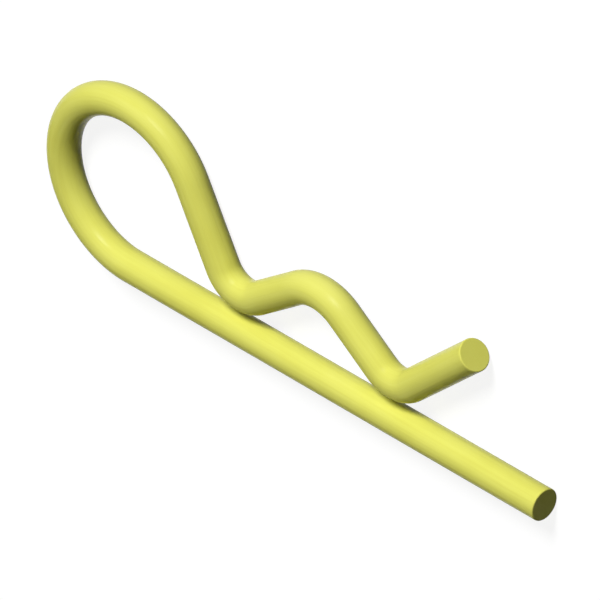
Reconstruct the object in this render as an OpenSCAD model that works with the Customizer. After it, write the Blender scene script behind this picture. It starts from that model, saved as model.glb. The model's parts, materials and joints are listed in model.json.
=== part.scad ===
// Spring pin: one length of round spring wire, bent flat into the shape of an R.
// The straight leg goes through a cross hole in a shaft, and the arch of the sprung leg grips
// the outside of the shaft.
// The origin is where the axis of the shaft crosses the axis of the straight leg. +X runs along
// the straight leg to its free end, +Y points to the sprung leg and +Z is the axis of the shaft,
// so the pin lies flat on its side.

/* [Wire] */
// Diameter of the round spring wire
wire_d = 4; // [2:0.1:6]
// Width of the bevel that breaks the edge of each cropped end
end_bevel = 0.15; // [0.05:0.05:0.5]

/* [Straight leg] */
// Length of the straight leg, from the loop to its free end
leg_length = 65.5; // [55:0.5:100]

/* [Loop] */
// Inside radius of the loop
loop_inner_r = 9; // [7:0.5:14]
// Slope at which the wire leaves the loop and comes down to the straight leg
drop_angle = 61.5; // [45:0.5:75]

/* [Sprung leg] */
// Gap that the two low bends leave over the straight leg
leg_gap = 1.1; // [0.6:0.1:2.5]
// Inside radius of the two low bends
bend_inner_r = 2; // [1:0.1:4]

/* [Arch over the shaft] */
// Height of the arch's underside over the straight leg
arch_height = 7.4; // [5:0.1:12]
// Inside radius of the arch at its crown
arch_inner_r = 4.4; // [2:0.1:8]
// Slope of the arch's two flanks
arch_angle = 36; // [25:0.5:50]

/* [Tip] */
// Slope at which the tip lifts away from the straight leg, to guide the pin on to the shaft
tip_angle = 43; // [15:0.5:65]
// Length of the straight tip, from the second low bend to its end
tip_length = 13; // [5:0.5:25]

/* [Hidden] */
$fn = 96;

zinc_yellow = [0.95, 0.94, 0.46];

// Bending draws the wire out: the loss of diameter in a bend
bend_thinning = 0.01;
// How far each bend reaches into the runs beside it, so that they join into one solid
bend_lap = 0.05;

// Bending radii along the centre of the wire
loop_r = loop_inner_r + wire_d / 2;
bend_r = bend_inner_r + wire_d / 2;
arch_r = arch_inner_r + wire_d / 2;

// Heights of the wire's centre over the centre of the straight leg, at the low bends and the crown
low_y = wire_d + leg_gap;
crown_y = wire_d + arch_height;

// Straight run from the loop down to the first low bend
drop_length = (loop_r * (1 + cos(drop_angle)) - low_y - bend_r * (1 - cos(drop_angle)))
            / sin(drop_angle);

// Straight run from a low bend up to the crown's bend
flank_length = (crown_y - low_y - (bend_r + arch_r) * (1 - cos(arch_angle))) / sin(arch_angle);

// Distance along X from the centre of the loop to the crown of the arch
crown_x = loop_r * sin(drop_angle) + drop_length * cos(drop_angle)
        + bend_r * (sin(drop_angle) + sin(arch_angle))
        + flank_length * cos(arch_angle) + arch_r * sin(arch_angle);

// The wire's course from the free end of the straight leg to the end of the tip.
// [length] is a straight run and [radius, turn] is a bend, with a positive turn to the left.
course = [
    [leg_length - end_bevel],
    [loop_r, -(180 + drop_angle)],
    [drop_length],
    [bend_r, drop_angle + arch_angle],
    [flank_length],
    [arch_r, -2 * arch_angle],
    [flank_length],
    [bend_r, arch_angle + tip_angle],
    [tip_length - end_bevel],
];

function is_run(step) = len(step) == 1;

// A straight length of wire from the origin along +X
module run(length) {
    rotate([0, 90, 0]) cylinder(d = wire_d, h = length);
}

// A bend that starts at the origin along +X
module bend(radius, turn) {
    lap_turn = bend_lap / radius * 180 / PI;
    mirror([0, turn < 0 ? 1 : 0, 0])
        translate([0, radius, 0])
            rotate([0, 0, -90 - lap_turn])
                rotate_extrude(angle = abs(turn) + 2 * lap_turn)
                    translate([radius, 0]) rotate(90) circle(d = wire_d - bend_thinning);
}

// The bevelled end of the wire, from the origin along +X
module cropped_end() {
    rotate([0, 90, 0]) cylinder(d1 = wire_d, d2 = wire_d - 2 * end_bevel, h = end_bevel);
}

// Carries what follows to the end of a step, and turns it to the wire's new direction
module after(step) {
    if (is_run(step))
        translate([step[0], 0, 0]) children();
    else {
        to_centre = [0, sign(step[1]) * step[0], 0];
        translate(to_centre) rotate([0, 0, step[1]]) translate(-to_centre) children();
    }
}

// The wire from one step of its course to the end of the tip
module wire_from(i) {
    if (i == len(course))
        cropped_end();
    else {
        if (is_run(course[i])) run(course[i][0]);
        else bend(course[i][0], course[i][1]);
        after(course[i]) wire_from(i + 1);
    }
}

module spring_pin() {
    color(zinc_yellow)
        translate([leg_length - end_bevel - crown_x, 0, 0]) {
            cropped_end();
            rotate([0, 0, 180]) wire_from(0);
        }
}

spring_pin();
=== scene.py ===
"""Dresses the spring pin: one bent wire with a satin yellow zinc finish, lying on a plain white stage."""

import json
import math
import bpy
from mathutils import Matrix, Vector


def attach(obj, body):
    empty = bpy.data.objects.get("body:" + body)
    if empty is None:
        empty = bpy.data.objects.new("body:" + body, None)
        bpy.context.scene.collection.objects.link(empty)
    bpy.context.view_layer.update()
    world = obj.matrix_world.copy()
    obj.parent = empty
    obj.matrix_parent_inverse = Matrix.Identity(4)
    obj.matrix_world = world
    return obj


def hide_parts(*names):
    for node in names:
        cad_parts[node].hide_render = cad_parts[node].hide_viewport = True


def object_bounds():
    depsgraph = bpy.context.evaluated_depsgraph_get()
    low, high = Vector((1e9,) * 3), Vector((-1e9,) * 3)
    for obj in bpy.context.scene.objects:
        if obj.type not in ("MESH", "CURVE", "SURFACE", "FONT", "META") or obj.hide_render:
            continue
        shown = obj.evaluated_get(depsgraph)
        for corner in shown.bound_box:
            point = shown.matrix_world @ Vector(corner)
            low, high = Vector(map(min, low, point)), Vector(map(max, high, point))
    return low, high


bl_info = {
    "name": "Spring Pin",
    "version": (1, 0, 0),
    "blender": (4, 5, 0),
    "location": "View3D > Sidebar > Spring Pin",
    "description": "Builds a spring pin of bent wire, its zinc finish and a plain stage to show it on",
    "category": "Add Mesh",
}

import bpy
import numpy as np
from bpy.props import FloatProperty, FloatVectorProperty, IntProperty, PointerProperty
from mathutils import Matrix, Vector

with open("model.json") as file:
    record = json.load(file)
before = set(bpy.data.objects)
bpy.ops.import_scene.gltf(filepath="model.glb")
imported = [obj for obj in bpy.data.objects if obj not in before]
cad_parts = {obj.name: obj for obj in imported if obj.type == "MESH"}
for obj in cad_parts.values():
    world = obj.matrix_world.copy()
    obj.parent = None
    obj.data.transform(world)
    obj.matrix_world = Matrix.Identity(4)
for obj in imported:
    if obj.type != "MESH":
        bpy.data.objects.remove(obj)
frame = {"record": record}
CAD_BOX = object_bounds()

MM = 0.001
BODY = "root"
NODE = "spring_pin"
SLOT = "yellow_zinc"

# The straight leg's round wall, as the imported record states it
LEG = next(mount["dims"] for mount in frame["record"]["mounts"] if mount["name"] == "straight_leg")

# Mesh attributes that the finish reads
UNBENT = "unbent_place"
CROPPED = "cropped_face"
BEND_SIDE = "bend_side"

# The map that the finish is baked through, the strips that the wire's wall takes on it, and their gap
BAKE_MAP = "OFBake"
BAKE_STRIPS = 4
BAKE_GAP = 0.3 * MM

# Rings of a cropped end's flat face, as shares of its radius, and the number of rings in its round edge
FACE_RINGS = (0.5, 0.9, 0.985, 1.0)
EDGE_RINGS = 7

# Number of places that a mean curvature is taken from
EASING_PLACES = 21

# The stretch of wire that starts at the crown of the arch, over the origin
FROM_CROWN = 6


def length(name, description, default):
    """A size in metres."""
    return FloatProperty(
        name=name, description=description, default=default, precision=5, subtype="DISTANCE", unit="LENGTH")


def angle(name, description, degrees):
    """An angle, kept in radians and shown in degrees."""
    return FloatProperty(
        name=name, description=description, default=math.radians(degrees), subtype="ANGLE", unit="ROTATION")


def share(name, description, default):
    """A number from 0 to 1."""
    return FloatProperty(
        name=name, description=description, default=default, min=0.0, max=1.0, precision=3,
        subtype="FACTOR")


def strength(name, description, default):
    """A lamp's strength, from nothing upwards."""
    return FloatProperty(name=name, description=description, default=default, min=0.0)


def direction(name, description, default):
    """A direction in the part's frame."""
    return FloatVectorProperty(
        name=name, description=description, default=default, size=3, subtype="DIRECTION")


def colour(name, description, default):
    """A colour in linear red, green and blue."""
    return FloatVectorProperty(
        name=name, description=description, default=default, size=3, min=0.0, max=1.0, subtype="COLOR")


class SpringPinSizes(bpy.types.PropertyGroup):
    """Sizes of the bent wire."""

    wire_d: length("Wire diameter", "Diameter of the round spring wire", 2 * LEG["r_mm"] * MM)
    end_bevel: length("End bevel", "Width of the rounded edge of each cropped end", 0.15 * MM)
    leg_run: length("Leg run", "Straight leg, from the loop to its end's bevel", LEG["length_mm"] * MM)
    loop_inner_r: length("Loop radius", "Inside radius of the loop", 9.0 * MM)
    drop_angle: angle("Drop slope", "Slope at which the wire leaves the loop", 61.5)
    leg_gap: length("Leg gap", "Gap that the two low bends leave over the straight leg", 1.1 * MM)
    bend_inner_r: length("Bend radius", "Inside radius of the two low bends", 2.0 * MM)
    arch_height: length("Arch height", "Height of the arch's underside over the straight leg", 7.4 * MM)
    arch_inner_r: length("Arch radius", "Inside radius of the arch at its crown", 4.4 * MM)
    arch_angle: angle("Arch slope", "Slope of the arch's two flanks", 36.0)
    tip_angle: angle("Tip slope", "Slope at which the tip lifts away from the straight leg", 43.0)
    tip_length: length("Tip length", "Straight tip, from the second low bend to its end", 13.0 * MM)
    ring_step: length("Ring step", "Distance between the rings of points along the wire", 0.3 * MM)
    sides: IntProperty(name="Sides", description="Points around the wire", default=72, min=12, max=128)


class SpringPinFinish(bpy.types.PropertyGroup):
    """Colours and surface of the zinc finish."""

    zinc: colour("Zinc yellow", "Main colour of the yellow zinc", (0.905, 0.90, 0.17))
    pale: colour("Thin film", "Colour where the yellow film on the zinc is thin", (0.96, 0.955, 0.225))
    deep: colour("Thick film", "Colour where the yellow film on the zinc is thick", (0.83, 0.81, 0.125))
    shine: share("Shine", "Specular level of the film", 0.05)
    roughness: share("Roughness", "Mean roughness of the satin surface", 0.24)
    cloud_size: length("Cloud size", "Size of the clouds in the film", 4.0 * MM)
    line_gap: length("Line gap", "Distance between the draw lines that run along the wire", 0.4 * MM)
    line_depth: length("Line depth", "Depth of the draw lines", 0.03 * MM)
    shear_lines: share("Shear lines", "Depth of lines on the cropped ends, over the draw lines' depth", 0.4)


class SpringPinStage(bpy.types.PropertyGroup):
    """Light, floor and camera."""

    key_direction: direction("Key direction", "From the pin to the key light", (0.04, 0.80, 0.55))
    key_strength: strength("Key strength", "Strength of the key light", 2.95)
    low_direction: direction("Low direction", "From the pin to the low light", (-0.35, -0.93, 0.05))
    low_strength: strength("Low strength", "Strength of the low light", 1.0)
    lamp_spread: angle("Lamp spread", "Angle that each lamp fills, which softens its shadow", 20.0)
    fill: share("Fill", "Strength of the even light from all round", 0.02)
    floor_reach: length("Floor reach", "Distance from the pin to the floor's edges", 2.0)
    floor_bounce: share("Floor bounce", "Share of light that the floor throws back on to the pin", 0.02)
    floor_grey: share("Floor grey", "Share of light that the floor shows, lost in the shadow", 0.25)
    floor_white: share("Floor white", "White that the floor shows in the shadow too", 0.88)
    half_view: angle("Half view", "Half of the camera's angle of view", 0.8)
    half_width: length("Half width", "Half of the width that the camera sees at the pin", 33.797 * MM)
    aim_right: length("Aim right", "How far right of the origin the camera aims", -2.33 * MM)
    aim_up: length("Aim up", "How far above the origin the camera aims, in its picture", 8.48 * MM)


def sum_before(steps):
    """Sum of all the steps that come before each one."""
    return np.cumsum(steps, axis=0) - steps


def wire_stretches(sizes):
    """Lengths and curvatures of the wire's stretches, from the straight leg's free end to the tip.

    A straight run has no curvature, and a bend has 1 over its radius, positive where it turns left. The
    drop covers what the bends leave of the height from the loop to the low bends, and a flank what they
    leave of the height from there to the crown. Each is that height over the sine of its slope.
    """
    half_wire = sizes.wire_d / 2
    loop_r = sizes.loop_inner_r + half_wire
    bend_r = sizes.bend_inner_r + half_wire
    arch_r = sizes.arch_inner_r + half_wire
    drop, arch, tip = sizes.drop_angle, sizes.arch_angle, sizes.tip_angle
    low_y = sizes.wire_d + sizes.leg_gap
    crown_y = sizes.wire_d + sizes.arch_height
    drop_height = loop_r * (1 + math.cos(drop)) - low_y - bend_r * (1 - math.cos(drop))
    flank_height = crown_y - low_y - (bend_r + arch_r) * (1 - math.cos(arch))
    drop_run = drop_height / math.sin(drop)
    flank_run = flank_height / math.sin(arch)
    if min(drop_run, flank_run) <= 0:
        raise ValueError("These sizes leave no straight run between two bends")
    stretches = [
        (sizes.leg_run + sizes.end_bevel, 0),
        (loop_r * (math.pi + drop), -1 / loop_r),
        (drop_run, 0),
        (bend_r * (drop + arch), 1 / bend_r),
        (flank_run, 0),
        (arch_r * arch, -1 / arch_r),
        (arch_r * arch, -1 / arch_r),
        (flank_run, 0),
        (bend_r * (arch + tip), 1 / bend_r),
        (sizes.tip_length, 0),
    ]
    return np.array(stretches).T


def chord(run, heading, curvature):
    """Vectors from the starts of arcs to the points that lie a run further along them.

    A chord is turned by half of its arc's turn. It is as long as the arc times the sine of that half turn
    over the half turn itself. Both hold for a straight run too, whose turn is nothing.
    """
    half_turn = curvature * run / 2
    reach = run * np.sinc(half_turn / np.pi)
    return np.stack([reach * np.cos(heading + half_turn), reach * np.sin(heading + half_turn)], axis=-1)


class Centreline:
    """The flat line along the middle of the wire, measured from the straight leg's free end."""

    def __init__(self, sizes):
        lengths, self.curvatures = wire_stretches(sizes)
        self.whole = lengths.sum()
        self.starts = sum_before(lengths)
        self.headings = math.pi + sum_before(lengths * self.curvatures)
        corners = sum_before(chord(lengths, self.headings, self.curvatures))
        self.corners = corners - [corners[FROM_CROWN, 0], 0.0]

    def stretch_at(self, along):
        """The stretch that each distance along the wire falls in."""
        return np.searchsorted(self.starts[1:], along, side="right")

    def points(self, along):
        """Points and headings at distances along the wire."""
        i = self.stretch_at(along)
        run = along - self.starts[i]
        points = self.corners[i] + chord(run, self.headings[i], self.curvatures[i])
        return points, self.headings[i] + self.curvatures[i] * run

    def eased_curvature(self, along, reach):
        """Mean curvature over a reach of wire about each distance along it."""
        places = along[:, None] + np.linspace(-reach / 2, reach / 2, EASING_PLACES)
        return self.curvatures[self.stretch_at(places)].mean(axis=1)


def cropped_end(radius, bevel):
    """Distances in from the end and radii of the rings of a cropped end, from the middle outwards.

    The face is flat, and a quarter round as wide as the bevel rounds its edge.
    """
    flat_radii = (radius - bevel) * np.array(FACE_RINGS)
    turn = np.linspace(0, np.pi / 2, EDGE_RINGS + 1)[1:]
    inset = np.concatenate([np.zeros_like(flat_radii), bevel * (1 - np.cos(turn))])
    return inset, np.concatenate([flat_radii, radius - bevel * (1 - np.sin(turn))])


def wire_rings(whole, sizes):
    """Distances along the wire and radii of all its rings, from one end's face to the other's."""
    radius = sizes.wire_d / 2
    inset, end_radii = cropped_end(radius, sizes.end_bevel)
    first, last = inset[-1], whole - inset[-1]
    body = np.linspace(first, last, round((last - first) / sizes.ring_step))[1:-1]
    along = np.concatenate([inset, body, whole - inset[::-1]])
    return along, np.concatenate([end_radii, np.full_like(body, radius), end_radii[::-1]])


def tube_faces(rings, sides):
    """Four-sided faces between the rings of a tube, and fans of three-sided ones that close its ends.

    The rings' points come first, ring by ring, then the middle of the first end and of the last.
    """
    ring, side = np.meshgrid(np.arange(rings - 1) * sides, np.arange(sides), indexing="ij")
    after = (side + 1) % sides
    walls = np.stack([ring + side, ring + after, ring + sides + after, ring + sides + side], axis=-1)
    around, following = side[0], after[0]
    first_middle = np.full(sides, rings * sides)
    last_ring = (rings - 1) * sides
    fans = np.concatenate([
        np.stack([first_middle, following, around], axis=-1),
        np.stack([first_middle + 1, last_ring + around, last_ring + following], axis=-1),
    ])
    return walls.reshape(-1, 4).tolist() + fans.tolist()


def add_attribute(mesh, name, kind, values):
    """Gives each point of the mesh a value or a vector."""
    made = mesh.attributes.new(name, kind, "POINT")
    field = "vector" if kind == "FLOAT_VECTOR" else "value"
    made.data.foreach_set(field, np.ravel(values).astype(np.float32))


def wire_mesh(sizes):
    """The wire: circles carried square to its centreline, with closed ends.

    A point is the centreline's, plus the ring's radius times the cosine of its angle sideways and times
    the sine upwards. Its unbent place is its distance along the wire and those same two offsets. It is on a
    cropped face where it lies inside the wire's wall by more than half of the bevel, and on the outside of
    a bend where it lies on the side that the wire turns away from.
    """
    line = Centreline(sizes)
    along, radius = wire_rings(line.whole, sizes)
    ends = np.array([0.0, line.whole])
    angles = np.linspace(0, 2 * np.pi, sizes.sides, endpoint=False)
    unbent = np.stack(np.broadcast_arrays(
        along[:, None], radius[:, None] * np.cos(angles), radius[:, None] * np.sin(angles)), axis=-1)
    unbent = np.concatenate([unbent.reshape(-1, 3), ends[:, None] * [1, 0, 0]])

    distance, sideways, upwards = unbent.T
    points, heading = line.points(distance)
    left = np.stack([-np.sin(heading), np.cos(heading)], axis=-1)
    places = np.column_stack([points + sideways[:, None] * left, upwards])
    mesh = bpy.data.meshes.new("spring_wire")
    mesh.from_pydata(places, [], tube_faces(len(along), sizes.sides))
    mesh.polygons.foreach_set("use_smooth", np.ones(len(mesh.polygons), dtype=bool))

    flat = np.hypot(sideways, upwards) < sizes.wire_d / 2 - sizes.end_bevel / 2
    outside = -line.eased_curvature(distance, sizes.wire_d) * sideways
    add_attribute(mesh, UNBENT, "FLOAT_VECTOR", unbent)
    add_attribute(mesh, CROPPED, "FLOAT", flat)
    add_attribute(mesh, BEND_SIDE, "FLOAT", outside)
    add_bake_map(mesh, along, radius, sizes)
    mesh.update()
    return mesh


def add_bake_map(mesh, along, radius, sizes):
    """Lays the wire out flat: its wall as strips one above another, with its two end faces beside them.

    In a strip, a point lies as far along as it does on the surface, and as far up as it does around the
    wire. In a disc it lies where it does on the face. The discs clear the last face of a strip, which may
    reach past the strip's end by one ring step.
    """
    around = math.pi * sizes.wire_d
    surface = np.concatenate([[0.0], np.cumsum(np.hypot(np.diff(along), np.diff(radius)))])
    strip_length = surface[-1] / BAKE_STRIPS
    row = around + BAKE_GAP
    sheet = BAKE_STRIPS * row
    disc_x = strip_length + sizes.ring_step + 2 * BAKE_GAP + sizes.wire_d / 2

    ring, side = np.meshgrid(np.arange(len(along) - 1), np.arange(sizes.sides), indexing="ij")
    strip = np.minimum(surface[ring] // strip_length, BAKE_STRIPS - 1)[..., None]
    corner_ring = ring[..., None] + [0, 0, 1, 1]
    turn = (side[..., None] + [0, 1, 1, 0]) / sizes.sides
    wall = np.stack([surface[corner_ring] - strip * strip_length, strip * row + turn * around], axis=-1)

    def on_disc(last_end, disc_radius, disc_turn):
        """Places on the disc of the first or the last end, from radii and shares of a whole turn."""
        disc_y = sizes.wire_d / 2 + last_end * (sizes.wire_d + BAKE_GAP)
        x = disc_x + disc_radius * np.cos(2 * np.pi * disc_turn)
        y = disc_y + disc_radius * np.sin(2 * np.pi * disc_turn)
        return np.stack([x, y], axis=-1)

    is_last_end = corner_ring > len(along) / 2
    is_flat = (along[ring] == along[ring + 1])[..., None, None]
    wall = np.where(is_flat, on_disc(is_last_end, radius[corner_ring], turn), wall)
    sides = np.arange(sizes.sides)[:, None]
    fan_radius = radius[0] * np.array([0, 1, 1])
    first_fan = on_disc(0, fan_radius, (sides + [0, 1, 0]) / sizes.sides)
    last_fan = on_disc(1, fan_radius, (sides + [0, 0, 1]) / sizes.sides)
    corners = np.concatenate([part.reshape(-1, 2) for part in (wall, first_fan, last_fan)])
    layer = mesh.uv_layers.new(name=BAKE_MAP)
    layer.uv.foreach_set("vector", np.ravel(corners / sheet).astype(np.float32))


class NodeBench:
    """Adds nodes to a tree, and links or sets each of their inputs."""

    def __init__(self, tree):
        self.tree = tree

    def add(self, kind, inputs, **settings):
        """A new node of a kind, with its settings made and its inputs fed."""
        node = self.tree.nodes.new(kind)
        for name, value in settings.items():
            setattr(node, name, value)
        for name, value in inputs.items():
            self.feed(node.inputs[name], value)
        return node

    def feed(self, socket, value):
        """Links an input to a node's output, or sets it to a plain value."""
        if isinstance(value, bpy.types.NodeSocket):
            self.tree.links.new(value, socket)
        else:
            socket.default_value = value

    def math(self, operation, *values):
        """The number that an operation on numbers gives."""
        return self.add("ShaderNodeMath", dict(enumerate(values)), operation=operation).outputs[0]

    def attribute(self, name):
        """The outputs that give a mesh attribute as a number, a vector or a colour."""
        return self.add("ShaderNodeAttribute", {}, attribute_name=name).outputs

    def blend(self, factor, start, end):
        """A number that goes from start to end with the factor."""
        return self.add("ShaderNodeMix", {0: factor, 2: start, 3: end}).outputs[0]

    def weighted(self, base, *terms):
        """The base plus each value times its weight."""
        for value, weight in terms:
            base = self.math("MULTIPLY_ADD", value, weight, base)
        return base

    def noise(self, place, grain, detail):
        """Noise about nothing, with grains of a size in metres each way."""
        scaled = self.add("ShaderNodeVectorMath", {0: place, 1: grain}, operation="DIVIDE").outputs[0]
        noise = self.add("ShaderNodeTexNoise", {"Vector": scaled, "Scale": 1.0, "Detail": detail})
        return self.math("SUBTRACT", noise.outputs["Fac"], 0.5)

    def ramp(self, factor, colours):
        """A colour that goes evenly through the given ones as the factor goes from 0 to 1."""
        node = self.add("ShaderNodeValToRGB", {"Fac": factor})
        elements = node.color_ramp.elements
        while len(elements) < len(colours):
            elements.new(1.0)
        for i, value in enumerate(colours):
            elements[i].position = i / (len(colours) - 1)
            elements[i].color = (*value, 1.0)
        return node.outputs["Color"]


def new_material(name):
    """A material with nothing in it, a bench for its nodes, and the socket that takes its surface."""
    material = bpy.data.materials.new(name)
    material.use_nodes = True
    material.node_tree.nodes.clear()
    output = material.node_tree.nodes.new("ShaderNodeOutputMaterial")
    return material, NodeBench(material.node_tree), output.inputs["Surface"]


def zinc_finish(finish):
    """Yellow zinc on drawn wire.

    Its film is cloudy, drifts slowly in tone along the wire, and is thinner on the outside of a bend. Fine
    lines from drawing run along the wire, and lines from shearing run across its cropped ends.
    """
    material, nodes, surface = new_material(SLOT)
    place = nodes.attribute(UNBENT)["Vector"]
    cropped = nodes.attribute(CROPPED)["Fac"]
    outside = nodes.attribute(BEND_SIDE)["Fac"]
    cloud, line = finish.cloud_size, finish.line_gap

    # Sizes of the grains are along the wire, across it in the flat of the clip, and square to that flat
    drift = nodes.noise(place, (8 * cloud, 4 * cloud, 4 * cloud), 1.0)
    clouds = nodes.noise(place, (1.6 * cloud, cloud, cloud), 3.0)
    drawn = nodes.noise(place, (40 * line, line, line), 3.0)
    hairs = nodes.noise(place, (15 * line, line / 4, line / 4), 2.0)
    sheared = nodes.noise(place, (line, 12 * line, line / 3), 3.0)
    grain = nodes.noise(place, (line / 4, line / 4, line / 4), 2.0)
    lines = nodes.blend(cropped, drawn, nodes.math("MULTIPLY", sheared, finish.shear_lines))

    # The film goes from thin at 0 to thick at 1, and each value stands beside its weight
    film = nodes.weighted(0.5, (drift, 0.5), (clouds, 0.7), (lines, 0.7), (hairs, 0.3), (outside, -0.3))
    roughness = nodes.weighted(finish.roughness, (clouds, 0.15), (lines, 0.25), (cropped, 0.1))
    height = nodes.weighted(0.0, (lines, 1.0), (hairs, 0.25), (grain, 0.15))
    bump = nodes.add("ShaderNodeBump", {"Distance": finish.line_depth, "Height": height})
    shader = nodes.add("ShaderNodeBsdfPrincipled", {
        "Base Color": nodes.ramp(film, (finish.pale, finish.zinc, finish.deep)),
        "Roughness": roughness,
        "Specular IOR Level": finish.shine,
        "Normal": bump.outputs["Normal"],
    })
    nodes.feed(surface, shader.outputs["BSDF"])
    return material


def floor_finish(stage):
    """A white floor that keeps the pin's shadow and throws little light back on to the pin.

    What the camera sees, by itself or in a reflection, is white light plus a share of the light that falls
    on the floor. Other rays find a darker floor.
    """
    material, nodes, surface = new_material("plain_floor")
    path = nodes.add("ShaderNodeLightPath", {}).outputs
    seen = nodes.math("MAXIMUM", path["Is Camera Ray"], path["Is Glossy Ray"])
    seen = nodes.math("MAXIMUM", seen, path["Is Transmission Ray"])
    grey = nodes.blend(seen, stage.floor_bounce, stage.floor_grey)
    lit = nodes.add("ShaderNodeBsdfDiffuse", {"Color": grey})
    white = nodes.add("ShaderNodeEmission", {"Strength": nodes.math("MULTIPLY", seen, stage.floor_white)})
    both = nodes.add("ShaderNodeAddShader", {0: lit.outputs[0], 1: white.outputs[0]})
    nodes.feed(surface, both.outputs[0])
    return material


def floor_mesh(stage):
    """A flat square at the height of the pin's lowest point."""
    signs = np.array([(-1, -1), (1, -1), (1, 1), (-1, 1)])
    corners = np.column_stack([signs * stage.floor_reach, np.full(4, CAD_BOX[0].z)])
    mesh = bpy.data.meshes.new("floor")
    mesh.from_pydata(corners, [], [(0, 1, 2, 3)])
    return mesh


def isometric_view(stage):
    """The camera's place and turn, and its distance from what it looks at.

    It looks from the direction (1, 1, 1), with the picture's right along (1, 0, -1) and its top along
    (-1, 2, -1). It stands so far off that the half width fills half of its narrow angle of view.
    """
    right = Vector((1, 0, -1)).normalized()
    up = Vector((-1, 2, -1)).normalized()
    back = Vector((1, 1, 1)).normalized()
    distance = stage.half_width / math.tan(stage.half_view)
    place = right * stage.aim_right + up * stage.aim_up + back * distance
    turn = Matrix((right, up, back)).transposed()
    return Matrix.Translation(place) @ turn.to_4x4(), distance


def add_object(name, data):
    """A new object at the origin, in the scene."""
    made = bpy.data.objects.new(name, data)
    bpy.context.scene.collection.objects.link(made)
    return made


def add_lamp(name, towards, energy, spread, highlights):
    """A far lamp in a direction, wide enough to make soft shadows, with or without highlights."""
    light = bpy.data.lights.new(name, "SUN")
    light.energy = energy
    light.angle = spread
    lamp = add_object(name, light)
    lamp.rotation_euler = Vector(towards).to_track_quat("Z", "Y").to_euler()
    lamp.visible_glossy = highlights


class OBJECT_OT_spring_pin_wire(bpy.types.Operator):
    """Build the bent wire with its zinc finish"""

    bl_idname = "object.spring_pin_wire"
    bl_label = "Build Wire"

    def execute(self, context):
        mesh = wire_mesh(context.scene.spring_pin_sizes)
        mesh.materials.append(zinc_finish(context.scene.spring_pin_finish))
        wire = add_object("spring_wire", mesh)
        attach(wire, BODY)
        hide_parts(NODE)
        return {"FINISHED"}


class OBJECT_OT_spring_pin_stage(bpy.types.Operator):
    """Set up the plain floor, the light and the camera"""

    bl_idname = "object.spring_pin_stage"
    bl_label = "Build Stage"

    def execute(self, context):
        scene = context.scene
        stage = scene.spring_pin_stage

        floor = add_object("floor", floor_mesh(stage))
        floor.data.materials.append(floor_finish(stage))

        add_lamp("key", stage.key_direction, stage.key_strength, stage.lamp_spread, highlights=True)
        add_lamp("low", stage.low_direction, stage.low_strength, stage.lamp_spread, highlights=False)

        scene.world = bpy.data.worlds.new("even_light")
        scene.world.use_nodes = True
        background = scene.world.node_tree.nodes["Background"].inputs
        background["Color"].default_value = (1.0, 1.0, 1.0, 1.0)
        background["Strength"].default_value = stage.fill

        camera = add_object("camera", bpy.data.cameras.new("camera"))
        camera.matrix_world, distance = isometric_view(stage)
        camera.data.angle = 2 * stage.half_view
        camera.data.clip_end = 2 * distance
        scene.camera = camera
        scene.view_settings.view_transform = "Standard"
        return {"FINISHED"}


class VIEW3D_PT_spring_pin(bpy.types.Panel):
    """List the pin's sizes, finish and stage"""

    bl_idname = "VIEW3D_PT_spring_pin"
    bl_label = "Spring Pin"
    bl_space_type = "VIEW_3D"
    bl_region_type = "UI"
    bl_category = "Spring Pin"

    def draw(self, context):
        scene = context.scene
        for group in (scene.spring_pin_sizes, scene.spring_pin_finish, scene.spring_pin_stage):
            column = self.layout.column()
            column.use_property_split = True
            for name in group.__annotations__:
                column.prop(group, name)
        self.layout.operator(OBJECT_OT_spring_pin_wire.bl_idname)
        self.layout.operator(OBJECT_OT_spring_pin_stage.bl_idname)


CLASSES = (
    SpringPinSizes,
    SpringPinFinish,
    SpringPinStage,
    OBJECT_OT_spring_pin_wire,
    OBJECT_OT_spring_pin_stage,
    VIEW3D_PT_spring_pin,
)


def register():
    """Adds the classes, and the settings to each scene."""
    for item in CLASSES:
        bpy.utils.register_class(item)
    bpy.types.Scene.spring_pin_sizes = PointerProperty(type=SpringPinSizes)
    bpy.types.Scene.spring_pin_finish = PointerProperty(type=SpringPinFinish)
    bpy.types.Scene.spring_pin_stage = PointerProperty(type=SpringPinStage)


def unregister():
    """Takes the settings and the classes away again."""
    del bpy.types.Scene.spring_pin_stage
    del bpy.types.Scene.spring_pin_finish
    del bpy.types.Scene.spring_pin_sizes
    for item in reversed(CLASSES):
        bpy.utils.unregister_class(item)


def main():
    """Builds the pin and its stage."""
    register()
    bpy.ops.object.spring_pin_wire()
    bpy.ops.object.spring_pin_stage()


if __name__ == "__main__":
    main()
